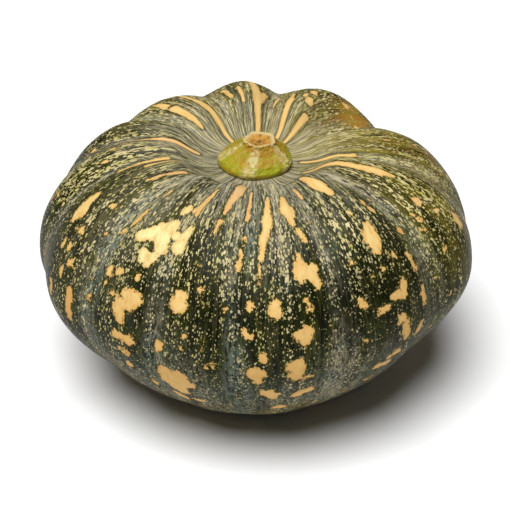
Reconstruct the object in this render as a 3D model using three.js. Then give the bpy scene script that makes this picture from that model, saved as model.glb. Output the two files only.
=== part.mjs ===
// A lobed winter squash with a squat, five-ridged stub of stem, as picked and set down on its blossom end.
// Millimetres, +Z up. The origin is on the stem's axis, at the level of the surface that the squash rests on.
// Angles run round +Z from +X, in degrees, so the side at -90 is the front.

import * as THREE from "three";
import { mergeVertices } from "three/addons/utils/BufferGeometryUtils.js";

// Driving dimensions of the fruit.
const HALF_WIDTH = 117; // from the stem's axis to the belly, at a lobe with no swell
const HEIGHT = 146; // from the foot to the shoulder, at a lobe with no lift
const BELLY_HEIGHT = 80; // where the fruit is widest, at a lobe with no rise
const SHOULDER_RADIUS = 52; // where the fruit is highest
const DISH_DEPTH = 13; // how far the stem's seat lies below the shoulder
const LOWER_FULLNESS = 0.35; // 0 tapers straight from the belly to the foot, 0.55 is as round as an ellipse
const FOOT_RADIUS = 38; // outer edge of the flat ring that the fruit rests on
const BLOSSOM_RADIUS = 13; // the sunken blossom end, inside that ring
const BLOSSOM_DEPTH = 3;

// Driving dimensions of the stem.
const STEM_FOOT_RADIUS = 18;
const STEM_CUT_RADIUS = 8;
const STEM_HEIGHT = 14;
const STEM_LEAN = 2.5; // how far the cut end stands off the foot's centre, towards +X
const STEM_RIDGE_COUNT = 5;
const STEM_RIDGE_SHARE = 0.13; // height of a ridge, as a share of the stem's radius there
const STEM_RIDGE_TURN = -102; // where the first ridge stands
const STEM_CUT_RIM = 1.2; // width of the rounded rim of the cut face
const STEM_CUT_HOLLOW = 1; // how far the middle of the cut face has dried inwards
const NECK_FLARE_HEIGHT = 5.4; // where the neck turns outwards into the foot
const LIP_HEIGHT = 3; // the rounded lip where the stem spreads over the rind
const LIP_BULGE = 0.4; // how far the lip swells past the foot's radius
const LIP_UNDERCUT = 1; // how far the underside's edge stands in from that radius

// The flat seat reaches past the stem's ridges by a margin.
const SEAT_MARGIN = 1.7;
const SEAT_RADIUS = STEM_FOOT_RADIUS * (1 + STEM_RIDGE_SHARE) + SEAT_MARGIN;
const SEAT_HEIGHT = HEIGHT - DISH_DEPTH;

// Each lobe starts at a groove. `at` is that groove's place and `depth` how deep it is cut at the shoulder;
// `swell` pushes the lobe's belly out, `rise` moves its belly up and `lift` raises its shoulder.
const LOBES = [
  { at: -2, depth: 5, swell: 2, rise: 3, lift: -9 },
  { at: 41, depth: 13, swell: 0, rise: 0, lift: 1 },
  { at: 80, depth: 8, swell: -2, rise: 0, lift: 2 },
  { at: 112, depth: 6, swell: -3, rise: 0, lift: -1 },
  { at: 146, depth: 6, swell: 0, rise: 0, lift: -1 },
  { at: 169, depth: 4, swell: 3, rise: 0, lift: -1 },
  { at: 192, depth: 5, swell: 3, rise: 0, lift: 0 },
  { at: 222, depth: 6, swell: -1, rise: 1, lift: 1 },
  { at: 243, depth: 4, swell: -1, rise: 2, lift: 2 },
  { at: 265, depth: 3, swell: 0, rise: 3, lift: 2 },
  { at: 293, depth: 4, swell: 0, rise: 5, lift: 2 },
  { at: 323, depth: 6, swell: 5, rise: 7, lift: -1 },
];
const BELLY_GROOVE_SHARE = 0.5; // how deep a groove is at the belly, of its depth at the shoulder
const GROOVE_SOFTNESS = 0.16; // 0 leaves a sharp groove, 1 a shallow wave

// Fineness of the faceted surfaces.
const STEPS_PER_LOBE = 8;
const DISH_STEPS = 6;
const UPPER_STEPS = 8;
const LOWER_STEPS = 10;
const BLOSSOM_STEPS = 3;
const STEM_STEPS_AROUND = 50;
const NECK_STEPS = 7;
const LIP_STEPS = 3;
const MERGE_DISTANCE = 1e-4;

const { degToRad, lerp } = THREE.MathUtils;
const smooth = (share) => THREE.MathUtils.smoothstep(share, 0, 1);
const spot = (radius, height) => new THREE.Vector2(radius, height);

// A solid turned from an outline of steps that runs from the top of the axis down to its foot.
// `place` takes the share of a full turn and the outline's step, and gives the point there.
function turnedSolid(outline, stepsAround, place) {
  const rising = [...outline].reverse();
  const profile = rising.map(({ radius, height }) => spot(radius, height));
  const geometry = new THREE.LatheGeometry(profile, stepsAround);
  const position = geometry.getAttribute("position");
  for (let turn = 0; turn <= stepsAround; turn++) {
    rising.forEach((step, row) => {
      const point = place((turn % stepsAround) / stepsAround, step);
      position.setXYZ(turn * rising.length + row, point.x, point.y, point.z);
    });
  }
  geometry.deleteAttribute("normal");
  geometry.deleteAttribute("uv");
  return mergeVertices(geometry, MERGE_DISTANCE);
}

// A stretch of an outline as even steps along a curve, without the curve's end.
// Each step holds the stretch's name and how far along it lies.
function stretch(name, curve, steps) {
  return Array.from({ length: steps }, (_, i) => {
    const along = i / steps;
    const point = curve.getPointAt(along);
    return { name, along, radius: point.x, height: point.y };
  });
}

// The unit normal of an outline at a row, pointing out of the solid.
function outwardNormal(outline, row) {
  const before = outline[Math.max(row - 1, 0)];
  const after = outline[Math.min(row + 1, outline.length - 1)];
  return spot(before.height - after.height, after.radius - before.radius).normalize();
}

// The fruit's half outline from the stem's seat, over the shoulder and the belly, to the blossom end.
function fruitOutline() {
  const reach = (SHOULDER_RADIUS - SEAT_RADIUS) / 2;
  const dish = new THREE.CubicBezierCurve(
    spot(SEAT_RADIUS, SEAT_HEIGHT),
    spot(SEAT_RADIUS + reach, SEAT_HEIGHT),
    spot(SHOULDER_RADIUS - reach, HEIGHT),
    spot(SHOULDER_RADIUS, HEIGHT),
  );
  const upper = new THREE.EllipseCurve(
    SHOULDER_RADIUS,
    BELLY_HEIGHT,
    HALF_WIDTH - SHOULDER_RADIUS,
    HEIGHT - BELLY_HEIGHT,
    Math.PI / 2,
    0,
    true,
  );
  const lower = new THREE.CubicBezierCurve(
    spot(HALF_WIDTH, BELLY_HEIGHT),
    spot(HALF_WIDTH, BELLY_HEIGHT * (1 - LOWER_FULLNESS)),
    spot(lerp(FOOT_RADIUS, HALF_WIDTH, LOWER_FULLNESS), 0),
    spot(FOOT_RADIUS, 0),
  );
  const foot = new THREE.LineCurve(spot(FOOT_RADIUS, 0), spot(BLOSSOM_RADIUS, 0));
  const blossom = new THREE.QuadraticBezierCurve(
    spot(BLOSSOM_RADIUS, 0),
    spot(BLOSSOM_RADIUS / 2, BLOSSOM_DEPTH),
    spot(0, BLOSSOM_DEPTH),
  );
  const outline = [
    { name: "seat", along: 0, radius: 0, height: SEAT_HEIGHT },
    ...stretch("dish", dish, DISH_STEPS),
    ...stretch("upper", upper, UPPER_STEPS),
    ...stretch("lower", lower, LOWER_STEPS),
    ...stretch("foot", foot, 1),
    ...stretch("blossom", blossom, BLOSSOM_STEPS),
    { name: "blossom", along: 1, radius: 0, height: BLOSSOM_DEPTH },
  ];
  return outline.map((step, row) => ({ ...step, normal: outwardNormal(outline, row) }));
}

// How fully the grooves are cut at a step of the outline.
function grooveShare({ name, along }) {
  if (name === "dish") return smooth(along);
  if (name === "upper") return lerp(1, BELLY_GROOVE_SHARE, smooth(along));
  if (name === "lower") return BELLY_GROOVE_SHARE * (1 - smooth(along));
  return 0;
}

// How fully a lobe's swell and rise count at a step of the outline.
function bellyShare({ name, along }) {
  if (name === "upper") return smooth(along);
  if (name === "lower") return 1 - smooth(along);
  return 0;
}

// How fully a lobe's lift counts at a step of the outline.
function shoulderShare({ name, along }) {
  if (name === "dish") return smooth(along);
  if (name === "upper") return 1 - smooth(along);
  return 0;
}

// The angle and the lobe's shape at a share of a full turn, where every lobe has an equal share.
function lobeAt(share) {
  const place = share * LOBES.length;
  const index = Math.floor(place);
  const across = place - index;
  const before = LOBES.at(index - 1);
  const lobe = LOBES[index];
  const after = LOBES[(index + 1) % LOBES.length];
  const end = index + 1 < LOBES.length ? after.at : after.at + 360;
  const arch = Math.sqrt(Math.sin(Math.PI * across) ** 2 + GROOVE_SOFTNESS ** 2) - GROOVE_SOFTNESS;
  const crown = arch / (Math.sqrt(1 + GROOVE_SOFTNESS ** 2) - GROOVE_SOFTNESS);
  const neighbour = across < 0.5 ? before : after;
  const own = 0.5 + 0.5 * smooth(1 - Math.abs(2 * across - 1));
  return {
    angle: degToRad(lerp(lobe.at, end, across)),
    cut: lerp(lobe.depth, after.depth, smooth(across)) * (1 - crown),
    swell: lerp(neighbour.swell, lobe.swell, own),
    rise: lerp(neighbour.rise, lobe.rise, own),
    lift: lerp(neighbour.lift, lobe.lift, own),
  };
}

// The ribbed fruit: its outline is turned, the lobes shape it and the grooves are cut along its normal.
function fruitGeometry() {
  return turnedSolid(fruitOutline(), LOBES.length * STEPS_PER_LOBE, (share, step) => {
    const { angle, cut, swell, rise, lift } = lobeAt(share);
    const inward = cut * grooveShare(step);
    const raised = rise * bellyShare(step) + lift * shoulderShare(step);
    const radius = step.radius + swell * bellyShare(step) - step.normal.x * inward;
    const height = step.height + raised - step.normal.y * inward;
    return new THREE.Vector3(radius * Math.cos(angle), radius * Math.sin(angle), height);
  });
}

// The stem's half outline from the cut face, down the neck and round the lip, to its flat underside.
function stemOutline() {
  const neck = new THREE.CubicBezierCurve(
    spot(STEM_CUT_RADIUS, STEM_HEIGHT),
    spot(STEM_CUT_RADIUS, STEM_HEIGHT / 2),
    spot((STEM_CUT_RADIUS + STEM_FOOT_RADIUS) / 2, NECK_FLARE_HEIGHT),
    spot(STEM_FOOT_RADIUS, LIP_HEIGHT),
  );
  const lip = new THREE.QuadraticBezierCurve(
    spot(STEM_FOOT_RADIUS, LIP_HEIGHT),
    spot(STEM_FOOT_RADIUS + LIP_BULGE, 0),
    spot(STEM_FOOT_RADIUS - LIP_UNDERCUT, 0),
  );
  return [
    { radius: 0, height: STEM_HEIGHT - STEM_CUT_HOLLOW },
    { radius: STEM_CUT_RADIUS - STEM_CUT_RIM, height: STEM_HEIGHT - STEM_CUT_HOLLOW / 2 },
    ...stretch("neck", neck, NECK_STEPS),
    ...stretch("lip", lip, LIP_STEPS),
    { radius: STEM_FOOT_RADIUS - LIP_UNDERCUT, height: 0 },
    { radius: 0, height: 0 },
  ];
}

// The ridged stem, leaning a little from its foot to its cut end.
function stemGeometry() {
  return turnedSolid(stemOutline(), STEM_STEPS_AROUND, (share, step) => {
    const angle = share * 2 * Math.PI;
    const ridge = (1 + Math.cos(STEM_RIDGE_COUNT * (angle - degToRad(STEM_RIDGE_TURN)))) / 2;
    const radius = step.radius * (1 + STEM_RIDGE_SHARE * ridge);
    const lean = STEM_LEAN * smooth(step.height / STEM_HEIGHT);
    return new THREE.Vector3(radius * Math.cos(angle) + lean, radius * Math.sin(angle), step.height);
  });
}

function piece(name, geometry, color, roughness) {
  const material = new THREE.MeshStandardMaterial({ color, roughness, metalness: 0 });
  const mesh = new THREE.Mesh(geometry, material);
  mesh.name = name;
  return mesh;
}

const fruit = piece("fruit", fruitGeometry(), 0x3f4a30, 0.45);
const stem = piece("stem", stemGeometry(), 0x8f8a2e, 0.5);
stem.position.z = SEAT_HEIGHT; // the stem's flat underside stands on the flat seat

const squash = new THREE.Group();
squash.add(fruit, stem);

export default squash;
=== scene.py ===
"""The looks of a lobed winter squash: a mottled, ribbed fruit and a short, corky stub of stem.

Lengths in the classes are millimetres and angles are degrees round +Z from +X; meshes are in metres.
`along` is the way over the rind from the edge of the stem's seat, over shoulder and belly, to the foot.
In the finishes, lengths are metres and scales are lumps or cells to the metre.
"""

from __future__ import annotations

import logging
import math
from dataclasses import dataclass, field, replace
from enum import Enum

import bpy
import numpy as np
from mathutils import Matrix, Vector, noise


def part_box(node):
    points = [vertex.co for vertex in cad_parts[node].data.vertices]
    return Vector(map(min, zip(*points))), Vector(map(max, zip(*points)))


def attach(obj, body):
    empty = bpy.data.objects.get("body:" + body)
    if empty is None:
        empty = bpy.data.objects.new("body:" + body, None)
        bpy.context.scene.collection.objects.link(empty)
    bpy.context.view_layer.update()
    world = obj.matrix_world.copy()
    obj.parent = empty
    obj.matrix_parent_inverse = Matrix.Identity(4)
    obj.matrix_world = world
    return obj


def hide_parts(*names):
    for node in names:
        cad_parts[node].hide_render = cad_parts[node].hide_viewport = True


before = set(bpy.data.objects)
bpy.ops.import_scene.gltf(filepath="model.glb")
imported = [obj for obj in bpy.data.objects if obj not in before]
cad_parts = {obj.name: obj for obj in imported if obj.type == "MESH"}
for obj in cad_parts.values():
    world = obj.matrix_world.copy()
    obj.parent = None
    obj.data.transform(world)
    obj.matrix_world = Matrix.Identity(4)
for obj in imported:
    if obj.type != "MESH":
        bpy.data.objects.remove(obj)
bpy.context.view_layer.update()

log = logging.getLogger("squash")
MM = 0.001
LITRES = 1e3
MILLILITRES = 1e6
FULL_TURN = 360.0
MM_PER_DEGREE = 1.8
Colour = tuple[float, float, float, float]
Value = object
Socket = bpy.types.NodeSocket


def smooth(share: np.ndarray) -> np.ndarray:
    """Returns the smoothstep of a share, held between 0 and 1."""
    held = np.clip(share, 0, 1)
    return held * held * (3 - 2 * held)


def blend(start: np.ndarray, end: np.ndarray, share: np.ndarray) -> np.ndarray:
    """Returns the value a share of the way from start to end."""
    return start + (end - start) * share


def cubic(t: np.ndarray, *ends: tuple[float, float]) -> np.ndarray:
    """Returns the points at the shares t of a cubic curve, from its four control points."""
    a, b, c, d = np.array(ends, float)
    return (1 - t) ** 3 * a + 3 * (1 - t) ** 2 * t * b + 3 * (1 - t) * t * t * c + t**3 * d


def quadratic(t: np.ndarray, *ends: tuple[float, float]) -> np.ndarray:
    """Returns the points at the shares t of a quadratic curve, from its three control points."""
    a, b, c = np.array(ends, float)
    return (1 - t) ** 2 * a + 2 * (1 - t) * t * b + t * t * c


def swing_from(start: float, turn: np.ndarray) -> np.ndarray:
    """Returns how far a turn is from a start, the short way round."""
    return (turn - start + FULL_TURN / 2) % FULL_TURN - FULL_TURN / 2


def ring_faces(rows: int, columns: int) -> list[tuple[int, ...]]:
    """Joins closed rings of vertices into faces.

    Args:
        rows: how many rings there are.
        columns: how many vertices each ring has.

    Returns:
        The corners of each face.
    """
    faces = []
    for row in range(rows - 1):
        for k in range(columns):
            n = (k + 1) % columns
            here, below = row * columns, (row + 1) * columns
            faces.append((here + k, below + k, below + n, here + n))
    return faces


class Graph:
    """A node tree under construction, for a finish or a shape."""

    MIX_SOCKETS = {"FLOAT": (2, 3, 0), "VECTOR": (4, 5, 1), "RGBA": (6, 7, 2)}

    def __init__(self, tree: bpy.types.NodeTree) -> None:
        """Keeps the tree that the nodes go into."""
        self.tree = tree

    def feed(self, socket: Socket, value: Value) -> None:
        """Links a socket to another one, or sets its own value.

        Args:
            socket: the input to fill.
            value: an output socket, or a plain value.
        """
        if isinstance(value, Socket):
            self.tree.links.new(value, socket)
        else:
            socket.default_value = value

    def add(
        self,
        kind: str,
        inputs: dict[str | int, Value] | None = None,
        **settings: Value,
    ) -> bpy.types.Node:
        """Adds a node.

        Args:
            kind: the node's type.
            inputs: values or sockets for its inputs, by name or by place.
            **settings: the node's own properties.

        Returns:
            The new node.
        """
        node = self.tree.nodes.new(kind)
        for name, value in settings.items():
            setattr(node, name, value)
        for name, value in (inputs or {}).items():
            self.feed(node.inputs[name], value)
        return node

    def math(self, operation: str, *values: Value) -> Socket:
        """Returns the result of one sum on numbers."""
        return self.add("ShaderNodeMath", dict(enumerate(values)), operation=operation).outputs[0]

    def vector(self, operation: str, *values: Value) -> Socket:
        """Returns the result of one sum on vectors."""
        return self.add("ShaderNodeVectorMath", dict(enumerate(values)), operation=operation).outputs[0]

    def scaled(self, vector: Value, factor: Value) -> Socket:
        """Returns a vector made longer by a factor."""
        node = self.add("ShaderNodeVectorMath", {0: vector, "Scale": factor}, operation="SCALE")
        return node.outputs[0]

    def times(self, value: Value, factor: Value) -> Socket:
        """Returns the product of two numbers."""
        return self.math("MULTIPLY", value, factor)

    def mix(self, kind: str, share: Value, start: Value, end: Value) -> Socket:
        """Mixes two values.

        Args:
            kind: FLOAT, VECTOR or RGBA.
            share: how much of the second value shows.
            start: the first value.
            end: the second value.

        Returns:
            The mixed value.
        """
        first, second, result = self.MIX_SOCKETS[kind]
        node = self.add("ShaderNodeMix", data_type=kind)
        self.feed(node.inputs[0], share)
        self.feed(node.inputs[first], start)
        self.feed(node.inputs[second], end)
        return node.outputs[result]

    def tint(self, share: Value, start: Value, end: Value) -> Socket:
        """Returns a mix of two colours."""
        return self.mix("RGBA", share, start, end)

    def step(
        self, value: Value, low: float, high: float, start: float = 0.0, end: float = 1.0
    ) -> Socket:
        """Maps a value smoothly from one range to another.

        Args:
            value: the number to map.
            low: where the range starts.
            high: where the range ends.
            start: the result at low.
            end: the result at high.

        Returns:
            The mapped number, held inside the new range.
        """
        ends = {"Value": value, "From Min": low, "From Max": high, "To Min": start, "To Max": end}
        return self.add("ShaderNodeMapRange", ends, interpolation_type="SMOOTHSTEP").outputs[0]

    def noise(
        self, place: Value, scale: float, detail: float = 2.0, rough: float = 0.5
    ) -> Socket:
        """Returns a cloudy number near 0.5 that varies over a place."""
        inputs = {"Vector": place, "Scale": scale, "Detail": detail, "Roughness": rough}
        return self.add("ShaderNodeTexNoise", inputs).outputs["Fac"]

    def noise_vector(self, place: Value, scale: float) -> Socket:
        """Returns a cloudy vector centred on zero."""
        node = self.add("ShaderNodeTexNoise", {"Vector": place, "Scale": scale})
        return self.vector("SUBTRACT", node.outputs["Color"], (0.5, 0.5, 0.5))

    def combine(self, x: Value, y: Value, z: Value) -> Socket:
        """Returns a vector of three numbers."""
        return self.add("ShaderNodeCombineXYZ", {0: x, 1: y, 2: z}).outputs[0]

    def separate(self, vector: Value) -> tuple[Socket, ...]:
        """Returns the three numbers of a vector."""
        return tuple(self.add("ShaderNodeSeparateXYZ", {0: vector}).outputs)

    def stored(self, name: str, output: str = "Fac") -> Socket:
        """Returns a stored value of the mesh, for a finish."""
        return self.add("ShaderNodeAttribute", attribute_name=name).outputs[output]


def new_finish(name: str) -> tuple[bpy.types.Material, Graph, bpy.types.Node]:
    """Starts a finish.

    Args:
        name: what the finish is called.

    Returns:
        The material, its graph, and its main shader.
    """
    material = bpy.data.materials.new(name)
    material.use_nodes = True
    graph = Graph(material.node_tree)
    return material, graph, material.node_tree.nodes["Principled BSDF"]


def set_surface(
    g: Graph, shader: bpy.types.Node, surface: dict[str, Value], bump: tuple[float, float]
) -> None:
    """Fills in a finish's shader.

    Args:
        g: the finish's graph.
        shader: its main shader.
        surface: colour, rough, specular and height.
        bump: the bump's strength and its distance.
    """
    strength, distance = bump
    g.feed(shader.inputs["Base Color"], surface["colour"])
    g.feed(shader.inputs["Roughness"], surface["rough"])
    shader.inputs["Specular IOR Level"].default_value = surface["specular"]
    inputs = {"Strength": strength, "Distance": distance, "Height": surface["height"]}
    g.feed(shader.inputs["Normal"], g.add("ShaderNodeBump", inputs).outputs[0])


@dataclass(frozen=True)
class Ramp:
    """A smooth change from `start` to `end` while a value goes from `low` to `high`."""

    low: float
    high: float
    start: float = 0.0
    end: float = 1.0

    def of(self, g: Graph, value: Value) -> Socket:
        """Returns the changed value."""
        return g.step(value, self.low, self.high, self.start, self.end)


@dataclass(frozen=True)
class Cloud:
    """A cloudy number over a place.

    `scale` is lumps to the metre, `draw` below 1 draws the lumps out along the ribs, and `ramp` spreads
    the number.
    """

    scale: float
    detail: float = 2.0
    rough: float = 0.5
    draw: float = 1.0
    ramp: Ramp | None = None

    def over(self, g: Graph, place: Value) -> Socket:
        """Reads the cloud.

        Args:
            g: the finish's graph.
            place: where it is read.

        Returns:
            The number.
        """
        drawn = g.vector("MULTIPLY", place, (1.0, 1.0, self.draw))
        value = g.noise(drawn, self.scale, self.detail, self.rough)
        return self.ramp.of(g, value) if self.ramp else value


@dataclass(frozen=True)
class Dots:
    """Round dots, `scale` cells to the metre; `least` and `most` are their radii as shares of a cell."""

    scale: float
    least: float
    most: float
    edge: Ramp = Ramp(-0.06, 0.08)

    def over(self, g: Graph, place: Value, size_here: Value) -> Socket:
        """Makes the dots.

        Args:
            g: the finish's graph.
            place: where they are read.
            size_here: how large they are here, near 1.

        Returns:
            1 on a dot and 0 off it.
        """
        cells = g.add("ShaderNodeTexVoronoi", {"Vector": place, "Scale": self.scale, "Randomness": 1.0})
        chance = g.separate(cells.outputs["Color"])[0]
        size = g.times(g.mix("FLOAT", chance, self.least, self.most), size_here)
        return self.edge.of(g, g.math("SUBTRACT", size, cells.outputs["Distance"]))


def new_object(name: str, mesh: bpy.types.Mesh) -> bpy.types.Object:
    """Puts a mesh into the scene.

    Args:
        name: what the object is called.
        mesh: its mesh.

    Returns:
        The new object.
    """
    piece = bpy.data.objects.new(name, mesh)
    bpy.context.scene.collection.objects.link(piece)
    return piece


def read_floats(mesh: bpy.types.Mesh, name: str) -> np.ndarray:
    """Reads a stored number.

    Args:
        mesh: the mesh that holds it.
        name: what it is stored as.

    Returns:
        One number for each vertex.
    """
    values = np.zeros(len(mesh.vertices), np.float32)
    mesh.attributes[name].data.foreach_get("value", values)
    return values


def read_way(mesh: bpy.types.Mesh) -> tuple[np.ndarray, np.ndarray]:
    """Returns the turn of every vertex, in degrees, and its way along the rind."""
    return np.degrees(read_floats(mesh, "turn").astype(float)), read_floats(mesh, "along").astype(float)


def store(mesh: bpy.types.Mesh, name: str, values: np.ndarray) -> None:
    """Stores a number, a vector or a colour on every vertex.

    Args:
        mesh: the mesh that gets it.
        name: what the finish reads it as.
        values: one row for each vertex.
    """
    width = 1 if values.ndim == 1 else values.shape[1]
    kind, slot = {1: ("FLOAT", "value"), 3: ("FLOAT_VECTOR", "vector"), 4: ("FLOAT_COLOR", "color")}[width]
    layer = mesh.attributes.new(name, kind, "POINT")
    layer.data.foreach_set(slot, np.ascontiguousarray(values, np.float32).ravel())


def signed_volume(mesh: bpy.types.Mesh) -> float:
    """Measures a closed mesh.

    Args:
        mesh: the mesh.

    Returns:
        Its volume in cubic metres, which is negative if its faces point inwards.
    """
    mesh.calc_loop_triangles()
    corners = np.zeros(len(mesh.loop_triangles) * 3, np.int32)
    mesh.loop_triangles.foreach_get("vertices", corners)
    places = np.zeros(len(mesh.vertices) * 3, np.float32)
    mesh.vertices.foreach_get("co", places)
    a, b, c = places.reshape(-1, 3)[corners.reshape(-1, 3)].transpose(1, 0, 2).astype(float)
    return float(np.einsum("ij,ij->i", a, np.cross(b, c)).sum() / 6)


# ---------------------------------------------------------------- the fruit


@dataclass(frozen=True)
class Lobe:
    """One lobe, which starts at a groove.

    `at` is the groove's angle and `depth` how deep it is cut at the shoulder; `swell` pushes the lobe's
    belly out, `rise` moves its belly up and `lift` raises its shoulder.
    """

    at: float
    depth: float
    swell: float
    rise: float
    lift: float


LOBES = (
    Lobe(at=-2, depth=5, swell=2, rise=3, lift=-9),
    Lobe(at=41, depth=13, swell=0, rise=0, lift=1),
    Lobe(at=80, depth=8, swell=-2, rise=0, lift=2),
    Lobe(at=112, depth=6, swell=-3, rise=0, lift=-1),
    Lobe(at=146, depth=6, swell=0, rise=0, lift=-1),
    Lobe(at=169, depth=4, swell=3, rise=0, lift=-1),
    Lobe(at=192, depth=5, swell=3, rise=0, lift=0),
    Lobe(at=222, depth=6, swell=-1, rise=1, lift=1),
    Lobe(at=243, depth=4, swell=-1, rise=2, lift=2),
    Lobe(at=265, depth=3, swell=0, rise=3, lift=2),
    Lobe(at=293, depth=4, swell=0, rise=5, lift=2),
    Lobe(at=323, depth=6, swell=5, rise=7, lift=-1),
)


@dataclass
class Outline:
    """The fruit's half outline before its lobes, from the middle of the stem's seat to the blossom end."""

    half_width: float = 117
    height: float = 146
    belly_height: float = 80
    shoulder_radius: float = 52
    dish_depth: float = 13
    lower_fullness: float = 0.35
    foot_radius: float = 38
    blossom_radius: float = 13
    blossom_depth: float = 3
    seat_radius: float = 22.04
    belly_groove_share: float = 0.5
    spacing: float = 1.5
    curve_points: int = 1500
    flow_places: tuple[float, ...] = (-20, 5, 35, 95, 150, 230)
    flow_pace: tuple[float, ...] = (0.13, 0.13, 0.30, 0.66, 0.72, 0.60)

    def _curves(self) -> list[tuple[str, np.ndarray]]:
        """Draws the outline's stretches.

        Returns:
            Each stretch's name and its finely stepped curve.
        """
        seat = (self.seat_radius, self.height - self.dish_depth)
        reach = (self.shoulder_radius - self.seat_radius) / 2
        shoulder = (self.shoulder_radius, self.height)
        belly = (self.half_width, self.belly_height)
        foot, blossom = (self.foot_radius, 0), (self.blossom_radius, 0)
        lower_middle = blend(self.foot_radius, self.half_width, self.lower_fullness)
        t = np.linspace(0, 1, self.curve_points)[:, None]
        turn = math.pi / 2 * (1 - t)
        upper = [
            self.shoulder_radius + (self.half_width - self.shoulder_radius) * np.cos(turn),
            self.belly_height + (self.height - self.belly_height) * np.sin(turn),
        ]
        into_dish, onto_shoulder = (seat[0] + reach, seat[1]), (shoulder[0] - reach, shoulder[1])
        under_belly = (self.half_width, self.belly_height * (1 - self.lower_fullness))
        deep = self.blossom_depth
        return [
            ("seat", blend(np.array([0, seat[1]]), np.array(seat), t)),
            ("dish", cubic(t, seat, into_dish, onto_shoulder, shoulder)),
            ("upper", np.hstack(upper)),
            ("lower", cubic(t, belly, under_belly, (lower_middle, 0), foot)),
            ("foot", blend(np.array(foot), np.array(blossom), t)),
            ("blossom", quadratic(t, blossom, (self.blossom_radius / 2, deep), (0, deep))),
        ]

    def _shares(self, name: str, along: np.ndarray) -> np.ndarray:
        """Finds how fully grooves, bellies and shoulders count.

        Args:
            name: the stretch of the outline.
            along: the shares of the stretch that are passed.

        Returns:
            The three shares, in columns.
        """
        none, rising = np.zeros_like(along), smooth(along)
        share = self.belly_groove_share
        table = {
            "dish": (rising, none, rising),
            "upper": (1 + (share - 1) * rising, rising, 1 - rising),
            "lower": (share * (1 - rising), 1 - rising, none),
        }
        return np.stack(table.get(name, (none, none, none)), -1)

    def steps(self) -> dict[str, np.ndarray]:
        """Steps evenly down the outline.

        Returns:
            place, normal, shares, along and flow_along, with one row for each step.
        """
        places, shares = [], []
        for name, curve in self._curves():
            travelled = np.r_[0, np.cumsum(np.hypot(*np.diff(curve, axis=0).T))]
            count = max(2, round(travelled[-1] / self.spacing))
            wanted = np.arange(count) / count
            column = np.interp(wanted * travelled[-1], travelled, curve[:, 0])
            places.append(np.stack([column, np.interp(wanted * travelled[-1], travelled, curve[:, 1])], -1))
            shares.append(self._shares(name, wanted))
        place = np.vstack([*places, [[0, self.blossom_depth]]])
        slope = np.gradient(place, axis=0)
        normal = np.stack([-slope[:, 1], slope[:, 0]], -1)
        normal /= np.linalg.norm(normal, axis=1)[:, None]
        along = np.r_[0, np.cumsum(np.hypot(*np.diff(place, axis=0).T))] - self.seat_radius
        pace = np.interp(along, self.flow_places, self.flow_pace)
        flow_along = np.r_[0, np.cumsum((pace[1:] + pace[:-1]) / 2 * np.diff(along))]
        return {
            "place": place * MM,
            "normal": normal,
            "shares": np.vstack([*shares, [[0, 0, 0]]]),
            "along": along,
            "flow_along": flow_along * MM,
        }

    def mesh(self) -> bpy.types.Mesh:
        """Makes the outline's mesh.

        Returns:
            A chain of vertices that holds what each step needs.
        """
        steps = self.steps()
        flat = np.zeros(len(steps["place"]))
        mesh = bpy.data.meshes.new("outline")
        edges = [(i, i + 1) for i in range(len(flat) - 1)]
        mesh.from_pydata([(r, 0, z) for r, z in steps["place"]], edges, [])
        store(mesh, "normal_out", np.stack([steps["normal"][:, 0], flat, steps["normal"][:, 1]], -1))
        store(mesh, "shares", steps["shares"])
        store(mesh, "trail", np.stack([steps["along"], flat, steps["flow_along"]], -1))
        return mesh


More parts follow.
